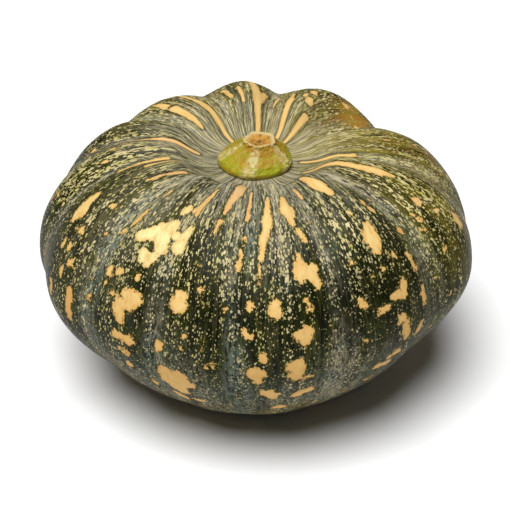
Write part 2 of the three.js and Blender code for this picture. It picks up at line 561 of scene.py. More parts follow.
@dataclass
class RibbedTree:
    """The rule that turns an outline and a ring of lobes into the ribbed fruit."""

    name: str = "ribbed_fruit"
    columns: int = 468
    flow_radius: float = 85
    shoulder_softness: float = 0.11
    belly_softness: float = 0.26
    wander: float = 1.3
    wander_scale: float = 22.0
    lump_height: float = 0.9
    lump_scale: float = 30.0
    pleat_height: float = 0.5
    pleat_scale: float = 260.0
    pleat_draw: float = 0.08
    lump_fade: float = 0.3
    merge_distance: float = 0.02
    seed: float = 3.7

    def _inputs(self) -> dict[str, tuple[str, Value]]:
        """Lists the tree's number inputs.

        Returns:
            Each input's name, with its socket type and its value in modifier units.
        """
        return {
            "Columns": ("NodeSocketInt", self.columns),
            "Shoulder softness": ("NodeSocketFloat", self.shoulder_softness),
            "Belly softness": ("NodeSocketFloat", self.belly_softness),
            "Wander": ("NodeSocketFloat", math.radians(self.wander)),
            "Lump height": ("NodeSocketFloat", self.lump_height * MM),
            "Pleat height": ("NodeSocketFloat", self.pleat_height * MM),
            "Flow radius": ("NodeSocketFloat", self.flow_radius * MM),
            "Seed": ("NodeSocketFloat", self.seed),
            "Merge distance": ("NodeSocketFloat", self.merge_distance * MM),
        }

    def _empty_tree(self) -> bpy.types.NodeTree:
        """Makes the node tree with its inputs and its output.

        Returns:
            The tree, without nodes.
        """
        tree = bpy.data.node_groups.new(self.name, "GeometryNodeTree")
        face = tree.interface
        face.new_socket(name="Outline", in_out="INPUT", socket_type="NodeSocketGeometry")
        face.new_socket(name="Lobe ring", in_out="INPUT", socket_type="NodeSocketObject")
        face.new_socket(name="Rind", in_out="INPUT", socket_type="NodeSocketMaterial")
        for name, (kind, _) in self._inputs().items():
            face.new_socket(name=name, in_out="INPUT", socket_type=kind)
        face.new_socket(name="Fruit", in_out="OUTPUT", socket_type="NodeSocketGeometry")
        return tree

    def build(self) -> bpy.types.NodeTree:
        """Makes the rule.

        Returns:
            The node tree.
        """
        tree = self._empty_tree()
        self.g = g = Graph(tree)
        self.given = g.add("NodeGroupInput").outputs
        rows = g.add("GeometryNodeAttributeDomainSize", {0: self.given["Outline"]}).outputs["Point Count"]
        around = self.given["Columns"]
        grid = g.add("GeometryNodeMeshGrid", {"Vertices X": g.math("ADD", around, 1.0), "Vertices Y": rows})
        index = g.add("GeometryNodeInputIndex").outputs[0]
        column = g.math("MODULO", g.math("FLOOR", g.math("DIVIDE", g.math("ADD", index, 0.5), rows)), around)
        row = g.math("FLOOR", g.math("MODULO", g.math("ADD", index, 0.5), rows))
        held = ("position", "normal_out", "shares", "trail")
        step = {name: self._sample("Outline", name, row) for name in held}
        groove, belly, shoulder = g.separate(step["shares"])
        along, _, flow_along = g.separate(step["trail"])
        lobe = self._lobe(g.math("DIVIDE", column, around), belly)
        facing = g.combine(g.math("COSINE", lobe["turn"]), g.math("SINE", lobe["turn"]), 0.0)
        flow = g.vector("ADD", g.scaled(facing, self.given["Flow radius"]), g.combine(0.0, 0.0, flow_along))
        seeded = g.vector("ADD", flow, g.combine(self.given["Seed"], self.given["Seed"], 0.0))
        wander = g.math("SUBTRACT", g.noise(seeded, self.wander_scale), 0.5)
        turn = g.math("MULTIPLY_ADD", g.times(wander, belly), self.given["Wander"], lobe["turn"])
        place = self._place(step, (groove, belly, shoulder), lobe, seeded, turn)
        inputs = {"Geometry": grid.outputs["Mesh"], "Position": place}
        shaped = g.add("GeometryNodeSetPosition", inputs).outputs[0]
        for name, kind, value in (
            ("flow", "FLOAT_VECTOR", flow),
            ("crown", "FLOAT", lobe["crown"]),
            ("turn", "FLOAT", lobe["turn"]),
            ("along", "FLOAT", along),
        ):
            inputs = {"Geometry": shaped, "Name": name, "Value": value}
            stored = g.add("GeometryNodeStoreNamedAttribute", inputs, data_type=kind, domain="POINT")
            shaped = stored.outputs[0]
        inputs = {"Geometry": shaped, "Distance": self.given["Merge distance"]}
        closed = g.add("GeometryNodeMergeByDistance", inputs)
        outward = g.add("GeometryNodeFlipFaces", {"Mesh": closed.outputs[0]})
        smoothed = g.add("GeometryNodeSetShadeSmooth", {"Geometry": outward.outputs[0]})
        real = g.add("GeometryNodeRealizeInstances", {"Geometry": smoothed.outputs[0]})
        inputs = {"Geometry": real.outputs[0], "Material": self.given["Rind"]}
        dressed = g.add("GeometryNodeSetMaterial", inputs)
        g.feed(g.add("NodeGroupOutput").inputs[0], dressed.outputs[0])
        return tree

    def _sample(self, source: str | Socket, name: str, index: Value) -> Socket:
        """Reads a vector off the outline or the ring.

        Args:
            source: an input's name, or a geometry.
            name: the vector that it holds.
            index: the vertex to read.

        Returns:
            The vector.
        """
        geometry = self.given[source] if isinstance(source, str) else source
        if name == "position":
            value = self.g.add("GeometryNodeInputPosition").outputs[0]
        else:
            named = {"Name": name}
            value = self.g.add("GeometryNodeInputNamedAttribute", named, data_type="FLOAT_VECTOR").outputs[0]
        inputs = {"Geometry": geometry, "Value": value, "Index": index}
        found = self.g.add("GeometryNodeSampleIndex", inputs, data_type="FLOAT_VECTOR", domain="POINT")
        return found.outputs[0]

    def _lobe(self, share: Value, belly: Value) -> dict[str, Socket]:
        """Finds the angle and the lobe's shape at a share of a full turn; every lobe has an equal share.

        Args:
            share: the share of a full turn.
            belly: how fully the belly counts at this step.

        Returns:
            turn, crown, cut, and shape, which holds swell, rise and lift.
        """
        g = self.g
        count = float(len(LOBES))
        ring = g.add("GeometryNodeObjectInfo", {"Object": self.given["Lobe ring"]}).outputs["Geometry"]
        place = g.times(share, count)
        index = g.math("FLOOR", place)
        across = g.math("SUBTRACT", place, index)
        earlier = g.math("MODULO", g.math("ADD", index, count - 1), count)
        later = g.math("MODULO", g.math("ADD", index, 1.0), count)
        own_start, own_depth, _ = g.separate(self._sample(ring, "groove", index))
        next_start, next_depth, _ = g.separate(self._sample(ring, "groove", later))
        wrapped = g.times(g.math("LESS_THAN", later, 0.5), math.tau)
        turn = g.mix("FLOAT", across, own_start, g.math("ADD", next_start, wrapped))
        softness = g.mix("FLOAT", belly, self.given["Shoulder softness"], self.given["Belly softness"])
        wave = g.math("SINE", g.times(across, math.pi))
        soft_square = g.times(softness, softness)
        arch = g.math("SUBTRACT", g.math("SQRT", g.math("MULTIPLY_ADD", wave, wave, soft_square)), softness)
        top = g.math("SUBTRACT", g.math("SQRT", g.math("ADD", soft_square, 1.0)), softness)
        crown = g.math("DIVIDE", arch, top)
        depth = g.mix("FLOAT", g.step(across, 0.0, 1.0), own_depth, next_depth)
        neighbour = g.mix(
            "VECTOR",
            g.math("LESS_THAN", across, 0.5),
            self._sample(ring, "shape", later),
            self._sample(ring, "shape", earlier),
        )
        off_middle = g.math("ABSOLUTE", g.math("MULTIPLY_ADD", across, 2.0, -1.0))
        own = g.step(g.math("SUBTRACT", 1.0, off_middle), 0.0, 1.0, 0.5, 1.0)
        shape = g.mix("VECTOR", own, neighbour, self._sample(ring, "shape", index))
        cut = g.times(depth, g.math("SUBTRACT", 1.0, crown))
        return {"turn": turn, "crown": crown, "cut": cut, "shape": shape}

    def _place(
        self,
        step: dict[str, Socket],
        shares: tuple[Socket, ...],
        lobe: dict[str, Socket],
        seeded: Socket,
        turn: Socket,
    ) -> Socket:
        """Places a point of the fruit.

        Args:
            step: what the outline holds at this step.
            shares: how fully grooves, bellies and shoulders count here.
            lobe: the lobe's shape here.
            seeded: where the lumps are read.
            turn: the point's angle.

        Returns:
            The point's position.
        """
        g = self.g
        groove, belly, shoulder = shares
        radius, _, height = g.separate(step["position"])
        out, _, up = g.separate(step["normal_out"])
        swell, rise, lift = g.separate(lobe["shape"])
        lump = g.times(g.math("SUBTRACT", g.noise(seeded, self.lump_scale), 0.5), 2.0)
        lump = g.times(lump, self.given["Lump height"])
        lump = g.times(lump, g.step(groove, 0.0, self.lump_fade))
        drawn = g.vector("MULTIPLY", seeded, (1.0, 1.0, self.pleat_draw))
        pleat = g.times(g.math("SUBTRACT", g.noise(drawn, self.pleat_scale), 0.5), 2.0)
        pleat = g.times(pleat, self.given["Pleat height"])
        pleat = g.times(pleat, g.step(shoulder, 0.0, 1.0))
        lump = g.math("ADD", lump, pleat)
        inward = g.math("SUBTRACT", g.times(lobe["cut"], groove), lump)
        swollen = g.math("MULTIPLY_ADD", swell, belly, radius)
        raised = g.math("MULTIPLY_ADD", rise, belly, g.math("MULTIPLY_ADD", lift, shoulder, height))
        reach = g.math("SUBTRACT", swollen, g.times(out, inward))
        level = g.math("SUBTRACT", raised, g.times(up, inward))
        return g.combine(
            g.times(reach, g.math("COSINE", turn)),
            g.times(reach, g.math("SINE", turn)),
            level,
        )

    def run(
        self,
        name: str,
        outline: bpy.types.Mesh,
        ring: bpy.types.Object,
        rind: bpy.types.Material,
    ) -> bpy.types.Mesh:
        """Runs the rule once.

        Args:
            name: what the finished mesh is called.
            outline: the chain of outline steps.
            ring: the ring of lobes.
            rind: the fruit's finish.

        Returns:
            The plain mesh of the fruit.
        """
        tree = self.build()
        carrier = new_object(f"{name}_outline", outline)
        modifier = carrier.modifiers.new(self.name, "NODES")
        modifier.node_group = tree
        slots = {item.name: item.identifier for item in tree.interface.items_tree if item.in_out == "INPUT"}
        modifier[slots["Lobe ring"]] = ring
        modifier[slots["Rind"]] = rind
        for title, (_, value) in self._inputs().items():
            modifier[slots[title]] = value
        ready = bpy.context.evaluated_depsgraph_get()
        mesh = bpy.data.meshes.new_from_object(carrier.evaluated_get(ready), depsgraph=ready)
        mesh.name = name
        carrier.modifiers.remove(modifier)
        bpy.data.objects.remove(carrier)
        bpy.data.objects.remove(ring)
        return mesh


class Tint(Enum):
    """The colour of a pale mark on the rind."""

    CREAM = (0.80, 0.57, 0.22, 1.0)
    PALE = (0.80, 0.72, 0.33, 1.0)
    PINK = (0.76, 0.50, 0.24, 1.0)
    ORANGE = (0.72, 0.42, 0.14, 1.0)
    OLIVE = (0.40, 0.36, 0.14, 1.0)


@dataclass(frozen=True)
class Mark:
    """A pale mark laid along a short line on the rind, from (turn, along) to (end_turn, end_along)."""

    turn: float
    along: float
    end_turn: float
    end_along: float
    width: float
    end_width: float = 0.0
    tint: Tint = Tint.CREAM


LEFT_MARKS = (
    Mark(203.4, 70, 203.2, 85, 8, 17),
    Mark(203.2, 80, 203.6, 94, 17, 7),
    Mark(210, 90, 210, 91, 6),
    Mark(208, 91, 208, 92, 4),
    Mark(212, 108, 212, 109, 7),
    Mark(209, 101, 209, 102, 6),
    Mark(206, 100, 206, 106, 4),
    Mark(209.5, 112, 209.5, 120, 4),
    Mark(214, 122, 214, 140, 7, tint=Tint.ORANGE),
    Mark(205, 125, 205, 135, 5, tint=Tint.ORANGE),
    Mark(226, 100, 226, 101, 9),
    Mark(230, 98, 230, 99, 7),
    Mark(226, 107, 226, 108, 4),
    Mark(236, 97, 236, 98, 5),
    Mark(229.5, 110, 229.5, 111, 4.5),
    Mark(234.5, 107, 236.5, 112, 15),
    Mark(236.5, 108, 238, 108, 10),
    Mark(233.5, 112, 231.5, 119, 13, 11),
    Mark(233, 118, 233.5, 125, 9, 6),
    Mark(231, 131, 238, 133, 8),
    Mark(233, 140, 236, 142, 6),
    Mark(235, 150, 235, 151, 7.5),
    Mark(245, 130, 245, 131, 9),
    Mark(246.8, 145, 248, 160, 19, 27),
    Mark(247.5, 154, 249, 168, 24, 18),
    Mark(249.5, 148, 252.5, 157, 18, 14),
    Mark(246, 156, 247.5, 164, 16, 13),
    Mark(245.5, 177, 248.5, 179, 13, 11),
    Mark(251, 176, 255, 176, 6),
    Mark(240, 164, 240, 172, 4),
    Mark(249.5, 102, 250, 106, 16),
)
LEFT_SHOULDER_MARKS = (
    Mark(230, 79, 239.5, 69, 12, 16, Tint.PALE),
    Mark(239, 69, 241, 62, 11, 6, Tint.PALE),
    Mark(239.3, 70, 239, 84, 13, 10, Tint.PALE),
    Mark(239, 84, 235.5, 88, 10, 15, Tint.PALE),
    Mark(246.8, 61, 244.5, 80, 7, 14, Tint.PALE),
    Mark(241, 71, 244.5, 70, 8, 8, Tint.PALE),
    Mark(242, 50, 240, 58, 5, tint=Tint.PALE),
    Mark(226.5, 62, 224.5, 74, 6),
    Mark(223, 77, 223, 78, 5),
    Mark(230, 46, 228, 52, 4),
    Mark(250, 36, 246, 56, 3),
    Mark(244, 53, 248, 42, 4),
    Mark(213, 70, 213, 72, 4),
)
FRONT_STRIPES = (
    Mark(264.4, 17, 260.6, 38, 3.5, 8, Tint.PINK),
    Mark(261.4, 31, 257.6, 55, 8, 3, Tint.PINK),
    Mark(257, 58, 256, 67, 4.5, 2.5, Tint.PINK),
    Mark(276, 40, 274.2, 62, 2.5, 8.5),
    Mark(274.6, 54, 271.6, 80, 8.5, 5.5),
    Mark(271.6, 82, 271, 92, 3, 2),
    Mark(283.2, 39, 283, 56, 4, 12),
    Mark(283.1, 47, 284, 64, 12, 6),
    Mark(285, 63, 287, 72, 6.5, 5),
    Mark(301.5, 22, 304.3, 42, 3, 11),
    Mark(303.2, 34, 306, 51, 11, 6),
    Mark(268, 34, 267, 56, 2, 3.5, Tint.PINK),
    Mark(266.5, 66, 265, 84, 2.5, 3.5),
    Mark(293, 30, 294, 42, 2, 3, Tint.PINK),
    Mark(315, 56, 316, 68, 2, 5.5),
    Mark(334, 6, 334.5, 28, 2, 5),
    Mark(334.4, 24, 337.4, 54, 4.5, 9),
    Mark(336.6, 46, 338.5, 62, 9, 3),
)
FRONT_MARKS = (
    Mark(283, 83.5, 283, 91, 11),
    Mark(286.4, 84.5, 286.6, 91, 11),
    Mark(283.2, 88, 286, 88, 10),
    Mark(284.7, 84, 284.7, 90, 10),
    Mark(286.8, 90, 287.8, 97.5, 10, 6),
    Mark(283.4, 77, 283.4, 84, 4),
    Mark(275.5, 101, 275.2, 108, 10.5),
    Mark(268.7, 100, 268.6, 106, 5.5),
    Mark(267.5, 117, 268.6, 118, 8),
    Mark(283.5, 107, 285, 106, 4.5),
    Mark(283.5, 101, 283.5, 102, 4),
    Mark(284.5, 103.5, 284.5, 104, 3.5),
    Mark(280.5, 119, 284.5, 118, 12),
    Mark(282.3, 119, 282.8, 124, 12, 8),
    Mark(281, 134, 280.3, 141, 13, 13),
    Mark(278, 136.5, 281, 136.5, 8),
    Mark(280, 140, 280.5, 147, 12, 9),
    Mark(282, 146, 285, 145.5, 5, 3),
    Mark(268.5, 141, 272, 140.5, 12),
    Mark(270, 142, 270.5, 148, 12, 8),
    Mark(272, 129, 272.3, 131, 8),
    Mark(272.5, 157, 275, 162, 13),
    Mark(280, 163, 286, 159, 11, 10),
    Mark(276, 182, 278.5, 180, 10),
    Mark(255.5, 96, 255.5, 97, 4),
    Mark(257, 104, 257, 104.5, 3),
    Mark(252, 121, 252, 122, 3.5),
    Mark(251.5, 128, 251.5, 129, 4),
    Mark(257.5, 122, 257.5, 123, 3),
    Mark(257, 126, 257, 127, 3),
)
RIGHT_MARKS = (
    Mark(308.6, 73, 308, 83, 12, 14),
    Mark(308.2, 78, 307.4, 90, 14, 9),
    Mark(298.5, 107, 299.3, 114, 5),
    Mark(303, 99.5, 303, 100, 4, tint=Tint.OLIVE),
    Mark(302.5, 119, 306.5, 116.5, 6),
    Mark(308, 113, 310.5, 114, 9),
    Mark(312.6, 107, 310.8, 117, 8),
    Mark(318.6, 117, 318, 128, 5.5),
    Mark(312.5, 93, 312.5, 94, 5),
    Mark(308.7, 128, 310.5, 127, 9),
    Mark(311, 129, 311.8, 143, 8),
    Mark(315.5, 144, 317.8, 137, 6),
    Mark(306.5, 152, 311.5, 149, 6),
    Mark(303.5, 157, 309.5, 157, 8, tint=Tint.PINK),
    Mark(304, 175, 307, 172, 5),
    Mark(306, 63, 306, 64, 4.5, tint=Tint.PALE),
    Mark(299, 88, 299, 89, 4),
    Mark(307, 97, 307, 98, 4),
    Mark(317.5, 95, 318, 106, 5),
    Mark(320, 81, 322, 86, 5, tint=Tint.ORANGE),
    Mark(333.5, 74, 334.5, 80, 6, tint=Tint.PINK),
    Mark(337, 88, 337, 89, 5),
    Mark(329.5, 85, 329.5, 86, 4.5),
    Mark(328, 90, 328, 91, 4.5),
    Mark(329, 80, 329, 81, 3.5),
    Mark(342, 97, 342.5, 108, 9),
    Mark(350, 108, 351, 118, 9, tint=Tint.PINK),
    Mark(331.5, 107, 331.5, 108, 5),
)
BACK_STRIPES = (
    Mark(-1, 2, 1, 36, 3, 4.5),
    Mark(52, 0, 51.5, 27, 2.5, 5),
    Mark(63.5, 0, 67, 34, 3, 7),
    Mark(66, 26, 68.5, 43, 7, 3),
    Mark(60, 49, 58.5, 45, 7),
    Mark(57, 39, 55.5, 34, 7),
    Mark(61, 42, 60.5, 38, 5),
    Mark(92, 60, 88, 30, 8, 9),
    Mark(89, 38, 86.5, 4, 9, 3),
    Mark(84, 44, 87, 28, 5, 6),
    Mark(78, 30, 77.5, 44, 2.5, 4),
    Mark(98, 26, 99, 44, 2.5, 4),
    Mark(104, 34, 106, 52, 2.5, 4),
    Mark(119.5, 0, 123.4, 34, 3, 7),
    Mark(122.6, 26, 125.5, 58, 7, 4.5),
    Mark(138, 18, 137, 46, 3, 7),
    Mark(137, 50, 135, 68, 7, 4),
    Mark(168, 8, 169.9, 38, 3, 7, Tint.PINK),
    Mark(169.2, 30, 172, 64, 7, 3, Tint.PINK),
    Mark(191, 26, 194, 58, 3, 6),
    Mark(206, 22, 203, 44, 2.5, 5),
    Mark(217, 24, 213, 50, 2, 2.5, Tint.PINK),
)
PLACED_MARKS = (
    *LEFT_MARKS,
    *LEFT_SHOULDER_MARKS,
    *FRONT_STRIPES,
    *FRONT_MARKS,
    *RIGHT_MARKS,
    *BACK_STRIPES,
)


@dataclass
class ScatteredMarks:
    """Marks strewn by chance where none is placed: flecks all over, and blotches behind and below."""

    seed: int = 12
    fleck_count: int = 420
    fleck_sector: tuple[float, float] = (-15, 345)
    fleck_range: tuple[float, float] = (50, 235)
    fleck_width: tuple[float, float] = (1.8, 4.0)
    blotch_count: int = 90
    blotch_sector: tuple[float, float] = (-15, 195)
    blotch_range: tuple[float, float] = (62, 205)
    blotch_width: tuple[float, float] = (4.0, 12.0)
    under_count: int = 60
    under_sector: tuple[float, float] = (195, 345)
    under_range: tuple[float, float] = (180, 235)
    under_width: tuple[float, float] = (3.0, 7.0)
    length_share: tuple[float, float] = (0.1, 1.3)
    lean: float = 1.0
    cream_share: float = 0.8
    clearance: float = 6.0

    def marks(self, placed: tuple[Mark, ...]) -> list[Mark]:
        """Strews the marks, clear of those already placed.

        Args:
            placed: the marks to keep clear of.

        Returns:
            The strewn marks.
        """
        rng = np.random.default_rng(self.seed)
        strewn = self._strew(rng, self.blotch_count, self.blotch_sector, self.blotch_range, self.blotch_width)
        strewn += self._strew(rng, self.under_count, self.under_sector, self.under_range, self.under_width)
        strewn += self._strew(rng, self.fleck_count, self.fleck_sector, self.fleck_range, self.fleck_width)
        return [mark for mark in strewn if self._is_clear(mark, placed)]

    def _strew(
        self,
        rng: np.random.Generator,
        count: int,
        sector: tuple[float, float],
        reach: tuple[float, float],
        widths: tuple[float, float],
    ) -> list[Mark]:
        """Strews one kind of mark.

        Args:
            rng: the source of chance.
            count: how many are tried.
            sector: the angles they lie between.
            reach: the least and the most along.
            widths: the least and the most width.

        Returns:
            The marks.
        """
        marks = []
        for _ in range(count):
            turn, along = rng.uniform(*sector), rng.uniform(*reach)
            width = blend(widths[0], widths[1], rng.random() ** 2)
            length = width * rng.uniform(*self.length_share)
            lean = rng.uniform(-self.lean, self.lean)
            tint = Tint.CREAM if rng.random() < self.cream_share else Tint.PINK
            marks.append(Mark(turn, along, turn + lean, along + length, width, tint=tint))
        return marks

    def _is_clear(self, mark: Mark, placed: tuple[Mark, ...]) -> bool:
        """Checks a strewn mark.

        Args:
            mark: the strewn mark.
            placed: the marks to keep clear of.

        Returns:
            Whether it keeps clear of them all.
        """
        for other in placed:
            swing = swing_from(other.turn, mark.turn)
            middle = (other.along + other.end_along) / 2
            half_length = abs(other.end_along - other.along) / 2
            gap = math.hypot(swing * MM_PER_DEGREE, max(0.0, abs(mark.along - middle) - half_length))
            if gap < (mark.width + other.width) / 2 + self.clearance:
                return False
        return True


@dataclass
class MarkField:
    """How far inside or outside the nearest mark each vertex of the rind lies, and that mark's colour.

    The ragged edge adds to a mark, so each is drawn in first: `fit` is what is left of its width, and
    `short_length` of a short mark's length. A stripe, which is longer than wide, loses only `stripe_trim` of
    its width at its ends.
    """

    reach: float = 6.0
    sector: float = 45.0
    fit: float = 0.62
    short_length: float = 0.5
    stripe_from: float = 0.8
    stripe_span: float = 2.0
    stripe_trim: float = 0.3
    ripple: float = 0.16
    ripple_counts: tuple[int, ...] = (2, 3, 5)
    ripple_from: float = 25.0
    ripple_span: float = 50.0
    no_length: float = 0.01
    tiny: float = 1e-9
    seed: int = 5

    def store_on(self, mesh: bpy.types.Mesh, marks: list[Mark]) -> None:
        """Stores the fields `mark`, in metres and positive inside a mark, and `mark_colour`.

        Args:
            mesh: the fruit.
            marks: all its marks.
        """
        rng = np.random.default_rng(self.seed)
        turn, along = read_way(mesh)
        places = np.zeros(len(mesh.vertices) * 3, np.float32)
        mesh.vertices.foreach_get("co", places)
        radius = np.hypot(places[0::3], places[1::3]) / MM
        best = np.full(len(turn), -self.reach)
        colour = np.tile(np.array(Tint.CREAM.value), (len(turn), 1))
        for mark in marks:
            inside, near = self._inside(self._fitted(mark), turn, along, radius, rng)
            better = inside > best[near]
            chosen = near[better]
            best[chosen] = inside[better]
            colour[chosen] = mark.tint.value
        store(mesh, "mark", best * MM)
        store(mesh, "mark_colour", colour)

    def _fitted(self, mark: Mark) -> Mark:
        """Draws a mark in, to make room for its ragged edge.

        Args:
            mark: the mark as it should look.

        Returns:
            The mark to measure from.
        """
        widest = max(mark.width, mark.end_width)
        length = math.hypot(mark.end_along - mark.along, (mark.end_turn - mark.turn) * MM_PER_DEGREE)
        stripe = float(smooth(np.array((length / widest - self.stripe_from) / self.stripe_span)))
        left = max(0.0, 1 - self.stripe_trim * widest / (length + self.no_length))
        keep = blend(self.short_length, left, stripe)
        trim = (1 - keep) / 2
        return replace(
            mark,
            turn=blend(mark.turn, mark.end_turn, trim),
            along=blend(mark.along, mark.end_along, trim),
            end_turn=blend(mark.turn, mark.end_turn, 1 - trim),
            end_along=blend(mark.along, mark.end_along, 1 - trim),
            width=mark.width * self.fit,
            end_width=(mark.end_width or mark.width) * self.fit,
        )

    def _inside(
        self,
        mark: Mark,
        turn: np.ndarray,
        along: np.ndarray,
        radius: np.ndarray,
        rng: np.random.Generator,
    ) -> tuple[np.ndarray, np.ndarray]:
        """Measures one mark.

        Args:
            mark: the mark.
            turn: every vertex's angle.
            along: every vertex's way over the rind.
            radius: every vertex's distance from the axis.
            rng: the source of chance.

        Returns:
            How far inside the mark the near vertices lie, and the indices of those vertices.
        """
        end_width = mark.end_width or mark.width
        widest = max(mark.width, end_width)
        middle = (mark.along + mark.end_along) / 2
        half = abs(mark.end_along - mark.along) / 2 + widest + self.reach
        swing = swing_from(mark.turn, turn)
        near = np.nonzero((np.abs(along - middle) < half) & (np.abs(swing) < self.sector))[0]
        arc = np.radians(1) * radius[near]
        x, y = swing[near] * arc, along[near] - mark.along
        end_x, end_y = (mark.end_turn - mark.turn) * arc, mark.end_along - mark.along
        share = np.clip((x * end_x + y * end_y) / (end_x**2 + end_y**2 + self.tiny), 0, 1)
        away_x, away_y = x - share * end_x, y - share * end_y
        around = np.arctan2(y - end_y / 2, x - end_x / 2)
        phase = rng.uniform(0, math.tau, len(self.ripple_counts))
        wave = sum(np.sin(k * around + p) / k**0.5 for k, p in zip(self.ripple_counts, phase))
        ripple = self.ripple * float(smooth(np.array((middle - self.ripple_from) / self.ripple_span)))
        wide = blend(mark.width, end_width, share) / 2 * (1 + ripple * wave)
        return wide - np.hypot(away_x, away_y), near


@dataclass(frozen=True)
class Wash:
    """A soft patch of a tone on the rind, round (turn, along), with its reach each way."""

    turn: float
    along: float
    reach_turn: float
    reach_along: float
    amount: float


# Grey bloom. The washes on the shoulders, at along 30 to 42, also paint sheen there; the first, on the front
# shoulder, is mostly painted sheen.
BLOOM_AND_SHEEN_WASHES = (
    Wash(262, 32, 34, 34, 0.85),
    Wash(300, 42, 26, 30, 0.50),
    Wash(222, 55, 16, 60, 0.45),
    Wash(165, 30, 52, 34, 0.40),
    Wash(75, 30, 60, 34, 0.25),
    Wash(294, 165, 17, 25, 0.90),
    Wash(248, 150, 7, 26, 0.45),
    Wash(236, 160, 14, 22, 0.60),
    Wash(262, 168, 10, 20, 0.55),
    Wash(279, 76, 7, 22, 0.50),
    Wash(266, 66, 8, 24, 0.35),
)
WARM_WASHES = (
    Wash(18, 60, 30, 60, 0.75),
    Wash(22, 12, 45, 24, 0.80),
    Wash(75, 50, 45, 50, 0.80),
    Wash(345, 80, 22, 60, 0.5),
    Wash(130, 60, 30, 50, 0.45),
    Wash(225, 70, 25, 40, 0.25),
)
# Painted shade, mostly on the front of the belly below its widest point.
PAINTED_SHADE_WASHES = (
    Wash(268, 108, 34, 20, 0.60),
    Wash(302, 105, 14, 20, 0.95),
    Wash(240, 100, 14, 14, 0.50),
    Wash(298, 48, 8, 12, 0.40),
)
PATCH_WASHES = (
    Wash(45, 70, 6, 16, 0.95),
    Wash(51, 62, 9, 22, 0.35),
    Wash(14, 74, 12, 30, 0.36),
    Wash(352, 84, 8, 20, 0.25),
)


@dataclass
class ToneFields:
    """The slow changes of tone over the rind: grey bloom with painted sheen, dark painted shade, warm olive
    and the golden patch.
    """

    bloom_in_grooves: float = 0.75
    groove_width: float = 0.48
    bloom_below: float = 0.35
    below_from: float = 165.0
    below_span: float = 60.0
    # Bloom and painted sheen on the top, round the stem.
    bloom_and_sheen_at_stem: float = 0.75
    stem_span: float = 50.0

    def _washed(self, washes: tuple[Wash, ...], turn: np.ndarray, along: np.ndarray) -> np.ndarray:
        """Adds up some washes.

        Args:
            washes: the washes.
            turn: every vertex's angle.
            along: every vertex's way over the rind.

        Returns:
            The sum at every vertex.
        """
        total = np.zeros(len(turn))
        for wash in washes:
            far = (swing_from(wash.turn, turn) / wash.reach_turn) ** 2
            far = far + ((along - wash.along) / wash.reach_along) ** 2
            total += wash.amount * np.exp(-far)
        return total

    def store_on(self, mesh: bpy.types.Mesh) -> None:
        """Stores `bloom_and_sheen`, `shade`, `warm` and `patch`; `shade` is painted shade.

        Args:
            mesh: the fruit.
        """
        turn, along = read_way(mesh)
        crown = read_floats(mesh, "crown").astype(float)
        grooves = self.bloom_in_grooves * (1 - smooth(crown / self.groove_width))
        below = self.bloom_below * smooth((along - self.below_from) / self.below_span)
        above = self.bloom_and_sheen_at_stem * (1 - smooth(along / self.stem_span))
        bloom_and_sheen = self._washed(BLOOM_AND_SHEEN_WASHES, turn, along) + grooves + below + above
        store(mesh, "bloom_and_sheen", np.clip(bloom_and_sheen, 0, 1))
        for name, washes in (("shade", PAINTED_SHADE_WASHES), ("warm", WARM_WASHES), ("patch", PATCH_WASHES)):
            store(mesh, name, np.clip(self._washed(washes, turn, along), 0, 1))


@dataclass(frozen=True)
class RindPlace:
    """What the rind's mesh holds at a point, for its finish."""

    flow: Value
    along: Value
    crown: Value
    bloom_and_sheen: Value
    shade: Value
    warm: Value
    patch: Value
    mark: Value

    @classmethod
    def read(cls, g: Graph) -> RindPlace:
        """Returns the stored values of the mesh."""
        names = ("along", "crown", "bloom_and_sheen", "shade", "warm", "patch", "mark")
        return cls(g.stored("flow", "Vector"), *(g.stored(name) for name in names))


